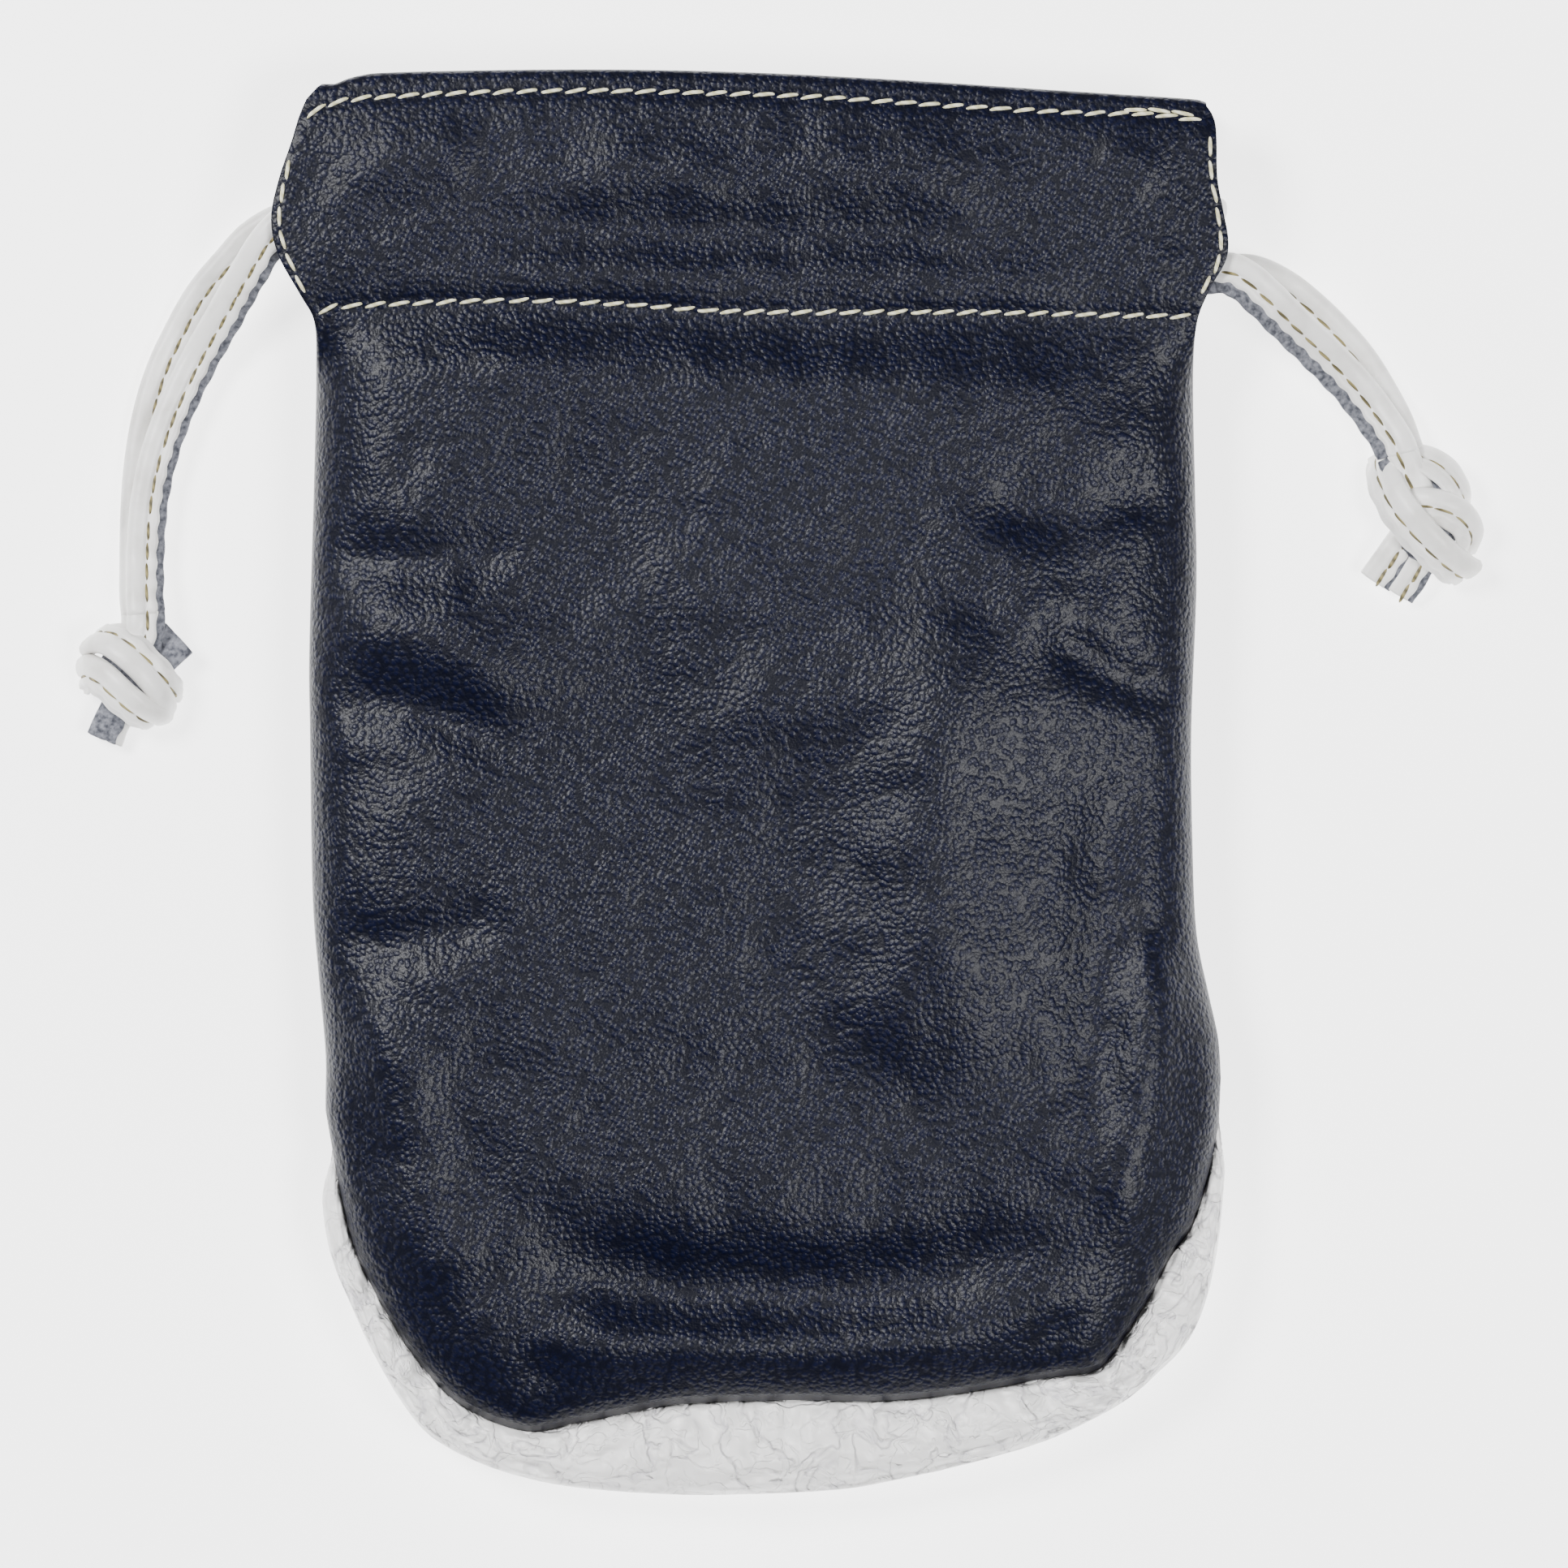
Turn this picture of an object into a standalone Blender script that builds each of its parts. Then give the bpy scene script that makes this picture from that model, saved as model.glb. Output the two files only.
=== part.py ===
"""A soft leather drawstring pouch, lying on its back. Metres, +Z up.

Its width runs along X, its mouth faces +Y and its back panel rests on Z = 0. Front and back
panels are cut alike, sewn together inside out at the sides and turned. A boat-shaped gusset
closes the base. Each panel folds over at the mouth into a hem, and two rows of stitching make
the hem a channel. Each of the two laces runs through both channels and leaves at one side.
"""

import math

import bmesh
import bpy
from mathutils import Vector
from mathutils.geometry import interpolate_bezier

MM = 0.001

# Leather, thread and the gap between pieces that touch
leather = 1.2 * MM
fit_gap = 0.3 * MM
thread_width = 0.8 * MM
thread_height = 0.5 * MM

# Body of the pouch
pouch_length = 217 * MM
body_half_width = 68 * MM
body_height = 20 * MM
front_fullness = 5  # a higher power keeps the front fuller towards its edge
back_flat_share = 0.75  # how much of the way to its outline the back lies flat
base_depth = 50 * MM  # how long the rounded base of each panel is
base_squareness = 2.8  # exponent of the base curve: 2 would be an ellipse
slit_shoulder = 12 * MM  # from the foot of a side slit up to the casing's stitches
seam_allowance = 5 * MM
stitch_inset = 4.2 * MM

# Gusset
gusset_depth = 13.5 * MM  # how far the white roll stands past the front panel
gusset_side = 1.5 * MM
gusset_roll_half_height = 5 * MM
gusset_tip_fullness = 0.1 * MM  # how far the roll stands past its seam at the tips
base_seam_spread = 0.9 * MM
base_spread_run = 40 * MM

# Casing at the mouth
casing_depth = 32.5 * MM  # between its two rows of stitches
mouth_stitch_inset = 4 * MM
mouth_gap = 6 * MM
flap_bulge = 4.5 * MM
flap_end_narrowing = 2.5 * MM
hem_tail = 3 * MM
hem_setback = 2 * MM  # how much narrower the hem is than the body, each side
channel_ramp = 2.6 * MM
slit_stitch_inset = 1.8 * MM

# Laces
lace_width = 5.6 * MM
lace_thickness = 2.4 * MM
left_lace_rise = 14.4 * MM  # from the casing's stitches to the lace's middle
right_lace_rise = 6.2 * MM
bend_radius = 3 * MM
floor_clearance = 0.1 * MM

# Sizes and places that follow from those
rim_y = pouch_length / 2
mouth_stitch_y = rim_y - mouth_stitch_inset
casing_stitch_y = mouth_stitch_y - casing_depth
slit_foot_y = casing_stitch_y - slit_shoulder
base_centre_y = gusset_depth + base_depth - pouch_length / 2
left_lace_y = casing_stitch_y + left_lace_rise
right_lace_y = casing_stitch_y + right_lace_rise
hem_half_width = body_half_width - hem_setback
pinch = leather + fit_gap / 2  # half the height of a flap where it is stitched flat
channel_height = lace_thickness + 2 * fit_gap
flap_half_height = leather + channel_height / 2
casing_lift = fit_gap + thread_height + floor_clearance
middle_z = casing_lift + 2 * flap_half_height + mouth_gap / 2
flap_offset = mouth_gap / 2 + flap_half_height  # from the middle to the middle of a flap
seam_half_gap = fit_gap / 2
tip_half_gap = leather + 2 * fit_gap
gusset_tip_half_height = tip_half_gap - fit_gap + gusset_tip_fullness
bend_start_x = hem_half_width + 2 * fit_gap
lace_gap = 2 * fit_gap + floor_clearance  # between the two strands where they lie on each other

half_columns = 12
body_steps = 9
gusset_tip_column = 10
roll_steps = 8


def mix(a, b, share):
    return a + (b - a) * share


def ease(share):
    """0 to 1 with level ends."""
    share = min(max(share, 0.0), 1.0)
    return share * share * (3 - 2 * share)


def make_material(name, colour, roughness):
    material = bpy.data.materials.new(name)
    material.use_nodes = True
    shader = material.node_tree.nodes["Principled BSDF"]
    shader.inputs["Base Color"].default_value = (*colour, 1.0)
    shader.inputs["Roughness"].default_value = roughness
    shader.inputs["Metallic"].default_value = 0.0
    return material


def add_object(name, bm, material, joint=None):
    """Make one named object. A moving piece hangs on the empty that marks its joint."""
    mesh = bpy.data.meshes.new(name)
    bm.to_mesh(mesh)
    bm.free()
    mesh.materials.append(material)
    mesh.shade_smooth()
    mesh.set_sharp_from_angle(angle=math.radians(50))
    piece = bpy.data.objects.new(name, mesh)
    bpy.context.scene.collection.objects.link(piece)
    if joint is not None:
        piece.parent = joint
        mesh.transform(joint.matrix_world.inverted())
    return piece


def add_joint_marker(name, place):
    marker = bpy.data.objects.new(name, None)
    bpy.context.scene.collection.objects.link(marker)
    marker.location = place
    bpy.context.view_layer.update()
    return marker


# The plan of the pouch


def column_angle(column):
    """Columns crowd towards the sides, where the panels turn down to the seam."""
    return math.pi / 2 * math.sin(math.pi / 2 * column / half_columns)


def base_point(column, half_width, depth):
    angle = column_angle(column)
    power = 2 / base_squareness
    x = half_width * math.copysign(abs(math.sin(angle)) ** power, angle)
    y = base_centre_y - depth * abs(math.cos(angle)) ** power
    return Vector((x, y, 0.0))


def inward(point):
    """Level direction from a point of the body's outline towards its inside."""
    sideways = -math.copysign(abs(point.x / body_half_width) ** (base_squareness - 1), point.x)
    below = max(base_centre_y - point.y, 0.0) / base_depth
    upwards = below ** (base_squareness - 1)
    return Vector((sideways / body_half_width, upwards / base_depth, 0.0)).normalized()


def edge_share(x, y):
    """0 in the middle of the body and 1 on its outline."""
    across = abs(x / body_half_width)
    below = max(base_centre_y - y, 0.0) / base_depth
    return (across**base_squareness + below**base_squareness) ** (1 / base_squareness)


def flap_half_width(y):
    swell = flap_bulge * ease((y - casing_stitch_y + 6 * MM) / (16 * MM))
    narrowing = flap_end_narrowing * ease((y - left_lace_y) / (16 * MM))
    return body_half_width + swell - narrowing


# Heights


def base_share(y):
    return ease((base_centre_y - y) / base_spread_run)


def seam_half(y):
    """Half the height between the two panels' turned-in edges: it opens for the gusset."""
    tip_y = base_point(gusset_tip_column, body_half_width, base_depth).y
    opening = ease((base_centre_y - y) / (base_centre_y - tip_y))
    return seam_half_gap + tip_half_gap * opening + base_seam_spread * base_share(y)


def body_z(x, y, side):
    """Outer surface of a panel: domed in front, flat where the back rests."""
    share = edge_share(x, y)
    edge = middle_z + side * seam_half(y)
    if side > 0:
        crown = body_height
        rise = math.sqrt(max(1 - share**front_fullness, 0.0))
    else:
        crown = 0.0
        past_flat = max(share - back_flat_share, 0.0) / (1 - back_flat_share)
        rise = math.sqrt(max(1 - past_flat**2, 0.0))
    return mix(edge, crown, rise)


def flap_z(height, side):
    """height is measured outwards from the middle of a flap."""
    return middle_z + side * (flap_offset + height)


def casing_rows():
    """Rows (y, half width, height) up the casing, over the mouth fold and down the hem."""
    foot = casing_stitch_y
    head = mouth_stitch_y
    outside = [
        (foot, pinch),
        (foot + channel_ramp, flap_half_height),
        ((foot + head) / 2, flap_half_height),
        (head - channel_ramp, flap_half_height),
        (head, pinch),
    ]
    rows = [(y, flap_half_width(y), height) for y, height in outside]
    fold_y = rim_y - pinch
    for step in range(6):
        turn = math.pi * step / 5
        width = mix(flap_half_width(head), hem_half_width, step / 5)
        rows.append((fold_y + pinch * math.sin(turn), width, pinch * math.cos(turn)))
    rows += [(y, hem_half_width, -height) for y, height in reversed(outside)]
    rows.append((foot - hem_tail, hem_half_width - 2 * hem_tail, -pinch))
    return rows


# Panels


def build_panel(name, side, material):
    casing = casing_rows()
    slit_ys = [mix(slit_foot_y, casing_stitch_y, share) for share in (1 / 3, 2 / 3)]
    last_body_row = body_steps
    row_count = body_steps + 1 + len(slit_ys) + len(casing)

    bm = bmesh.new()
    bmesh.ops.create_grid(bm, x_segments=2 * half_columns, y_segments=row_count - 1, size=1)
    seam_verts = set()
    for vert in bm.verts:
        column = round(vert.co.x * half_columns)
        row = round((vert.co.y + 1) / 2 * (row_count - 1))
        foot = base_point(column, body_half_width, base_depth)
        across = foot.x / body_half_width
        if row <= last_body_row:
            share = 1 - math.cos(math.pi / 2 * row / body_steps)
            y = mix(foot.y, slit_foot_y, share)
            vert.co = (foot.x, y, body_z(foot.x, y, side))
            if row == 0 or abs(column) == half_columns:
                seam_verts.add(vert)
        elif row <= last_body_row + len(slit_ys):
            y = slit_ys[row - last_body_row - 1]
            spread = ease((y - slit_foot_y) / (casing_stitch_y - slit_foot_y))
            z = mix(body_z(foot.x, y, side), flap_z(pinch, side), spread)
            vert.co = (across * flap_half_width(y), y, z)
        else:
            y, half_width, height = casing[row - last_body_row - 1 - len(slit_ys)]
            vert.co = (across * half_width, y, flap_z(height, side))

    # The seam allowance turns in flat all round the body.
    seam_edges = [edge for edge in bm.edges if edge.is_boundary and set(edge.verts) <= seam_verts]
    turned_in = bmesh.ops.extrude_edge_only(bm, edges=seam_edges)
    for item in turned_in["geom"]:
        if isinstance(item, bmesh.types.BMVert):
            item.co += inward(item.co) * seam_allowance

    bmesh.ops.recalc_face_normals(bm, faces=bm.faces)
    bm.faces.ensure_lookup_table()
    middle = min(bm.faces, key=lambda face: face.calc_center_median().xy.length)
    if middle.normal.z * side < 0:
        bmesh.ops.reverse_faces(bm, faces=bm.faces)
    panel = add_object(name, bm, material)
    add_leather_thickness(panel)


def add_leather_thickness(piece):
    """The mesh is the outer face of the leather; its thickness goes inwards."""
    solidify = piece.modifiers.new("leather", "SOLIDIFY")
    solidify.thickness = leather
    solidify.offset = -1
    solidify.use_even_offset = True


def build_gusset(material):
    """A strip between the base seams: turned-in edge, outward roll, turned-in edge."""
    across_count = roll_steps + 2
    bm = bmesh.new()
    bmesh.ops.create_grid(
        bm, x_segments=2 * gusset_tip_column, y_segments=across_count, size=1
    )
    for vert in bm.verts:
        column = round(vert.co.x * gusset_tip_column)
        step = round((vert.co.y + 1) / 2 * across_count)
        seam = base_point(column, body_half_width, base_depth)
        outline = base_point(column, body_half_width + gusset_side, base_depth + gusset_depth)
        seam_height = seam_half(seam.y) - fit_gap
        roll = mix(gusset_tip_half_height, gusset_roll_half_height, base_share(seam.y))
        seam_turn = math.pi - math.asin(seam_height / roll)
        if step == 0:
            place = seam + inward(seam) * seam_allowance
            height = -seam_height
        elif step == across_count:
            place = seam + inward(seam) * seam_allowance
            height = seam_height
        else:
            turn = mix(-seam_turn, seam_turn, (step - 1) / roll_steps)
            reach = (math.cos(turn) - math.cos(seam_turn)) / (1 - math.cos(seam_turn))
            place = seam.lerp(outline, reach)
            height = roll * math.sin(turn)
        vert.co = (place.x, place.y, middle_z + height)

    bmesh.ops.recalc_face_normals(bm, faces=bm.faces)
    outermost = min(bm.faces, key=lambda face: face.calc_center_median().y)
    if outermost.normal.y > 0:
        bmesh.ops.reverse_faces(bm, faces=bm.faces)
    gusset = add_object("bottom_gusset", bm, material)
    add_leather_thickness(gusset)


# Strips: thread and lace


def add_strip(bm, path, across, width, thickness, chamfer):
    """Sweep a flat bar along path. across gives the level direction of its width."""
    half = width / 2
    deep = thickness / 2
    if chamfer:
        inner = half - chamfer
        shallow = deep - chamfer
        section = [(-half, -shallow), (-inner, -deep), (inner, -deep), (half, -shallow)]
        section += [(-u, -v) for u, v in section]
    else:
        section = [(-half, -deep), (half, -deep), (half, deep), (-half, deep)]
    rings = []
    for index, point in enumerate(path):
        ahead = path[min(index + 1, len(path) - 1)]
        behind = path[max(index - 1, 0)]
        along = (ahead - behind).normalized()
        side = (across[index] - along * across[index].dot(along)).normalized()
        up = side.cross(along)
        rings.append([bm.verts.new(point + side * u + up * v) for u, v in section])
    for ring, following in zip(rings, rings[1:]):
        for index in range(len(section)):
            after = (index + 1) % len(section)
            bm.faces.new((ring[index], ring[after], following[after], following[index]))
    bm.faces.new(list(reversed(rings[0])))
    bm.faces.new(rings[-1])
    bmesh.ops.recalc_face_normals(bm, faces=bm.faces)


def build_thread(name, path, across, material):
    bm = bmesh.new()
    add_strip(bm, path, across, thread_width, thread_height, chamfer=0)
    add_object(name, bm, material)


def build_threads(material):
    thread_offset = fit_gap + thread_height / 2
    lengthwise = Vector((0, 1, 0))
    sideways = Vector((1, 0, 0))
    for side, face in ((1, "front"), (-1, "back")):
        for row, y in (("mouth", mouth_stitch_y), ("casing", casing_stitch_y)):
            reach = flap_half_width(y) - 2 * slit_stitch_inset
            z = flap_z(pinch + thread_offset, side)
            path = [Vector((-reach, y, z)), Vector((reach, y, z))]
            build_thread(f"{row}_stitching_{face}", path, [lengthwise] * 2, material)

        low = casing_stitch_y + channel_ramp + thread_width
        high = mouth_stitch_y - channel_ramp - thread_width
        z = flap_z(flap_half_height + thread_offset, side)
        for hand, word in ((-1, "left"), (1, "right")):
            path = []
            for step in range(9):
                y = mix(low, high, step / 8)
                chord = mix_flap_width(y) - slit_stitch_inset
                path.append(Vector((hand * chord, y, z)))
            build_thread(
                f"{word}_slit_stitching_{face}", path, [sideways] * len(path), material
            )

        path = []
        across = []
        for column in range(-gusset_tip_column, gusset_tip_column + 1):
            seam = base_point(column, body_half_width, base_depth)
            place = seam + inward(seam) * stitch_inset
            height = seam_half(seam.y) + leather + thread_offset
            place.z = middle_z + side * height
            path.append(place)
            across.append(inward(seam))
        build_thread(f"base_seam_thread_{face}", path, across, material)

    for hand, word in ((-1, "left"), (1, "right")):
        x = hand * (body_half_width - stitch_inset)
        z = middle_z + seam_half_gap + leather + thread_offset
        ends = (base_centre_y, slit_foot_y - stitch_inset)
        path = [Vector((x, y, z)) for y in ends]
        build_thread(f"side_seam_thread_{word}", path, [sideways] * 2, material)


def mix_flap_width(y):
    """Half width of the flap's outer face, straight between the rows that shape it."""
    rows = [row for row in casing_rows() if row[2] == flap_half_height]
    for low, high in zip(rows, rows[1:]):
        if y <= high[0]:
            return mix(low[1], high[1], (y - low[0]) / (high[0] - low[0]))
    return rows[-1][1]


# Laces. Each route gives the middle line in plan, from the slit to the knot, as steps from
# the point where the lace leaves its channel: (outwards, towards the mouth), in millimetres.

left_back_route = [
    (0, 0), (4.6, 0.1), (8, -0.4), (12, -2.8), (15.2, -6.2), (19.7, -11.5), (23.3, -17.8),
    (26, -23.8), (28, -30.8), (29.2, -38.5), (29.7, -47.1), (29.7, -56.3), (29.3, -60.6),
]
left_front_route = [
    (0, 0), (4.6, -0.2), (8.6, -3.4), (12.4, -8.9), (16.2, -15), (20, -21.2), (23.8, -29),
    (26.3, -36), (27.8, -43), (28.4, -50.4), (28.4, -57), (28.2, -60.6),
]
right_back_route = [
    (0, 0), (4.6, 0.2), (8.8, 0.1), (13.4, -2), (17.6, -5.2), (21.7, -9.1), (25.4, -13.4),
    (28.4, -18.2), (30.6, -22.6), (31.9, -26.4),
]
right_front_route = [
    (0, 0), (4.4, -0.1), (7.2, -1.4), (10.3, -4), (14.2, -7.6), (19.3, -12.1), (24.3, -17),
    (28.1, -22), (30.6, -26.2), (31.2, -27.9),
]
knot_entry_lift = 2.5 * MM
fall_length = 26 * MM
rise_length = 10 * MM
station_spacing = 4.5 * MM


def smooth_path(points):
    """Even stations on the smooth curve through points."""
    fine = []
    for index in range(len(points) - 1):
        before = points[max(index - 1, 0)]
        start = points[index]
        end = points[index + 1]
        after = points[min(index + 2, len(points) - 1)]
        leave = start + (end - before) / 6
        arrive = end - (after - start) / 6
        fine += interpolate_bezier(start, leave, arrive, end, 9)[:-1]
    fine.append(points[-1])
    travelled = [0.0]
    for start, end in zip(fine, fine[1:]):
        travelled.append(travelled[-1] + (end - start).length)
    count = round(travelled[-1] / station_spacing)
    stations = []
    segment = 0
    for step in range(count + 1):
        goal = travelled[-1] * step / count
        while segment < len(fine) - 2 and travelled[segment + 1] < goal:
            segment += 1
        span = travelled[segment + 1] - travelled[segment]
        stations.append(fine[segment].lerp(fine[segment + 1], (goal - travelled[segment]) / span))
    return stations


def strand_path(route, hand, lace_y, side):
    """A strand falls from its channel to the floor, the front one on top of the back one."""
    start_x = hand * bend_start_x
    plan = [
        Vector((start_x + hand * out * MM, lace_y + up * MM, 0)) for out, up in route
    ]
    path = smooth_path(plan)
    layer = 0.5 if side < 0 else 1.5
    lie_z = floor_clearance + layer * lace_thickness + (layer - 0.5) * lace_gap
    exit_z = flap_z(0, side)
    count = len(path) - 1
    length = count * (path[1] - path[0]).length
    hold = 7 * MM
    for index, point in enumerate(path):
        gone = length * index / count
        fallen = ease((gone - hold) / fall_length)
        risen = ease((gone - length + rise_length) / rise_length)
        point.z = mix(exit_z, lie_z, fallen) + knot_entry_lift * risen
    return path


def level_across(path):
    """The level direction square to each station of a path."""
    across = []
    for index in range(len(path)):
        along = path[min(index + 1, len(path) - 1)] - path[max(index - 1, 0)]
        across.append(Vector((-along.y, along.x, 0)).normalized())
    return across


def build_lace_strip(name, path, across, material, joint=None):
    bm = bmesh.new()
    add_strip(bm, path, across, lace_width, lace_thickness, chamfer=0.5 * MM)
    add_object(name, bm, material, joint)


def build_knot(name, entry, along, material, joint, tails):
    """An overhand knot: both strands' core, two diagonal wraps round it, and the two tails."""
    ahead = Vector((along.x, along.y, 0)).normalized()
    aside = Vector((-ahead.y, ahead.x, 0))
    core_length = 16 * MM
    core_height = 2 * lace_thickness + lace_gap
    knot_z = floor_clearance + knot_entry_lift + core_height / 2
    middle = Vector((entry.x, entry.y, knot_z)) + ahead * (core_length / 2 + fit_gap)

    def block(centre, direction, length, width, height):
        bm = bmesh.new()
        ends = [centre - direction * length / 2, centre + direction * length / 2]
        across = [Vector((-direction.y, direction.x, 0))] * 2
        add_strip(bm, ends, across, width, height, chamfer=0.6 * MM)
        return bm

    shapes = [block(middle, ahead, core_length, lace_width + fit_gap, core_height)]
    tilt = math.radians(30)
    wrap_axis = (ahead * math.cos(tilt) + aside * math.sin(tilt)).normalized()
    wrap_side = Vector((-wrap_axis.y, wrap_axis.x, 0))
    for place in (-0.5, 0.5):
        ring = bmesh.new()
        section = [(1, -1.9), (-1.2, -1.9), (-1.2, 1.9), (1, 1.9)]
        rings = []
        for step in range(16):
            turn = 2 * math.pi * step / 16
            verts = []
            for radial, axial in section:
                spot = middle + wrap_axis * (axial * MM + place * 4.6 * MM)
                spot += wrap_side * math.cos(turn) * (5.6 * MM + radial * MM)
                spot.z += math.sin(turn) * (core_height / 2 + 1.2 * MM + radial * MM)
                verts.append(ring.verts.new(spot))
            rings.append(verts)
        for step, verts in enumerate(rings):
            following = rings[(step + 1) % len(rings)]
            for index in range(len(section)):
                after = (index + 1) % len(section)
                ring.faces.new((verts[index], verts[after], following[after], following[index]))
        bmesh.ops.recalc_face_normals(ring, faces=ring.faces)
        shapes.append(ring)
    for out, up, length in tails:
        direction = Vector((out, up, 0)).normalized()
        centre = middle + direction * length * MM / 2
        shapes.append(block(centre, direction, length * MM, lace_width - fit_gap, lace_thickness))

    knot = None
    for index, bm in enumerate(shapes):
        if knot is None:
            knot = add_object(name, bm, material, joint)
            continue
        part = add_object(f"{name}_shape_{index}", bm, material, joint)
        part.hide_render = True
        part.display_type = "WIRE"
        union = knot.modifiers.new(f"join_{index}", "BOOLEAN")
        union.operation = "UNION"
        union.object = part
        union.solver = "EXACT"


def return_bend_path(hand, lace_y):
    """Round the two hems' edges, from the front channel to the back one."""
    path = []
    for side, turns in ((1, range(5)), (-1, range(4, -1, -1))):
        for step in turns:
            turn = math.pi / 2 * step / 4
            x = bend_start_x + bend_radius * math.sin(turn)
            z = flap_z(0, side) - side * bend_radius * (1 - math.cos(turn))
            path.append(Vector((hand * x, lace_y, z)))
    return path


def build_lace(word, hand, lace_y, back_route, front_route, tails, material):
    """hand is -1 for the lace that leaves at the left and 1 for the right one."""
    joint = add_joint_marker(f"{word}_lace_joint", (hand * bend_start_x, lace_y, middle_z))
    lengthwise = Vector((0, 1, 0))
    run_end = bend_start_x - fit_gap
    for side, face, route in ((1, "front", front_route), (-1, "back", back_route)):
        z = flap_z(0, side)
        ends = [Vector((-run_end, lace_y, z)), Vector((run_end, lace_y, z))]
        build_lace_strip(f"{word}_lace_{face}_run", ends, [lengthwise] * 2, material, joint)
        path = strand_path(route, hand, lace_y, side)
        name = f"{word}_lace_{face}_strand"
        build_lace_strip(name, path, level_across(path), material, joint)
        if side > 0:
            front_path = path
    along = front_path[-1] - front_path[-2]
    build_knot(f"{word}_lace_knot", front_path[-1], along, material, joint, tails)
    bend = return_bend_path(-hand, lace_y)
    across = [lengthwise] * len(bend)
    build_lace_strip(f"{word}_lace_return_bend", bend, across, material)


for leftover in list(bpy.data.objects):
    bpy.data.objects.remove(leftover, do_unlink=True)

navy_leather = make_material("navy pebbled leather", (0.012, 0.016, 0.04), 0.5)
white_leather = make_material("white leather", (0.85, 0.85, 0.86), 0.45)
cream_thread = make_material("cream polyester thread", (0.78, 0.75, 0.55), 0.6)
lace_leather = make_material("white lace leather", (0.88, 0.88, 0.86), 0.5)

build_panel("front_panel", 1, navy_leather)
build_panel("back_panel", -1, navy_leather)
build_gusset(white_leather)
build_threads(cream_thread)
left_tails = [(0.85, 0.5, 10.5), (-0.45, -0.9, 11.5)]
right_tails = [(-0.3, -0.95, 14), (0.9, 0.3, 9)]
build_lace("left", -1, left_lace_y, left_back_route, left_front_route, left_tails, lace_leather)
build_lace("right", 1, right_lace_y, right_back_route, right_front_route, right_tails, lace_leather)
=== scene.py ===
"""A leather drawstring pouch lying on its back: front, back, gusset, stitching and two laces.

Each section is one piece as a maker would cut and sew it. Lengths in lists are millimetres.
"""

import math

import bmesh
import bpy
import numpy as np
from mathutils import Matrix, Vector, noise
from mathutils.bvhtree import BVHTree


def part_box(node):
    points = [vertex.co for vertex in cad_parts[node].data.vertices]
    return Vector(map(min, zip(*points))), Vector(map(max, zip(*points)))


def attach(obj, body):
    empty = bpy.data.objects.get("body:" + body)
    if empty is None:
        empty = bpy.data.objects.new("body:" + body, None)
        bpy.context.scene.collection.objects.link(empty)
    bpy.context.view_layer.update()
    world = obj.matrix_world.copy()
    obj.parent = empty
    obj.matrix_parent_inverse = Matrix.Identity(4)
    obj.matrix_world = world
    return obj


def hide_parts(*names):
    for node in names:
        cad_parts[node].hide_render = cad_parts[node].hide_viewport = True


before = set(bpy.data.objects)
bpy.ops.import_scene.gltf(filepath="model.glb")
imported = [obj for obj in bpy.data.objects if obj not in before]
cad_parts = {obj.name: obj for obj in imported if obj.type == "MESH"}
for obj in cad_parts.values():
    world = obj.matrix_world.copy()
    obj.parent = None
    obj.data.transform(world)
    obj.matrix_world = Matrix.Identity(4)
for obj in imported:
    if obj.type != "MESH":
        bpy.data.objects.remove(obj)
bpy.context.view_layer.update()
MM = 0.001

# ---------------------------------------------------------------------------------------
# Front panel. One piece of pebbled navy cowhide, cut with a rounded base, sewn to the back
# and gusset inside out and turned. It folds over at the mouth and is stitched down there
# as a hem, which leaves a channel for the laces.

front_low, front_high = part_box("front_panel")
_, back_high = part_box("back_panel")
run_low, run_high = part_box("left_lace_front_run")
leather = 1.2 * MM
crown_z = front_high[2] - 0.6 * MM
seam_z = (front_low[2] + back_high[2]) / 2
flap_z = (run_low[2] + run_high[2]) / 2 - seam_z
channel_half = (run_high[2] - run_low[2]) / 2 + 0.3 * MM
# In millimetres: half the thickness where both layers are stitched together, half the width
# of the casing and of the hem inside it, where the casing begins, and how far in from its
# seam each panel takes to reach its full height.
stitched_half = 1.45
casing_half_width = 68.5
hem_half_width = 65.6
casing_foot = 72
front_round = 30
back_round = 13


def curve_through(points, count):
    """Even stations on a smooth curve through points, as an array."""
    knots = [Vector(p) for p in points]
    fine = []
    for index in range(len(knots) - 1):
        before = knots[max(index - 1, 0)]
        after = knots[min(index + 2, len(knots) - 1)]
        start = knots[index]
        end = knots[index + 1]
        for step in range(12):
            t = step / 12
            fine.append(
                0.5 * (2 * start + (end - before) * t
                       + (2 * before - 5 * start + 4 * end - after) * t * t
                       + (3 * start - before - 3 * end + after) * t ** 3)
            )
    fine.append(knots[-1])
    fine = np.array([tuple(p) for p in fine])
    gone = np.concatenate([[0], np.cumsum(np.linalg.norm(np.diff(fine, axis=0), axis=1))])
    goals = np.linspace(0, gone[-1], count)
    return np.stack([np.interp(goals, gone, fine[:, axis]) for axis in range(fine.shape[1])], 1)


def ease(share):
    """0 to 1 with level ends."""
    share = np.clip(share, 0, 1)
    return share * share * (3 - 2 * share)


def distance_to(line, points):
    """Least distance from each plan point to a polyline, and how far along it that is."""
    best = np.full(len(points), 1e9)
    along = np.zeros(len(points))
    for index in range(len(line) - 1):
        start = line[index][:2]
        run = line[index + 1][:2] - start
        share = np.clip(((points - start) @ run) / max(run @ run, 1e-12), 0, 1)
        gap = np.linalg.norm(points - start - share[:, None] * run, axis=1)
        nearer = gap < best
        best = np.where(nearer, gap, best)
        along = np.where(nearer, (index + share) / (len(line) - 1), along)
    return best, along


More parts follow.
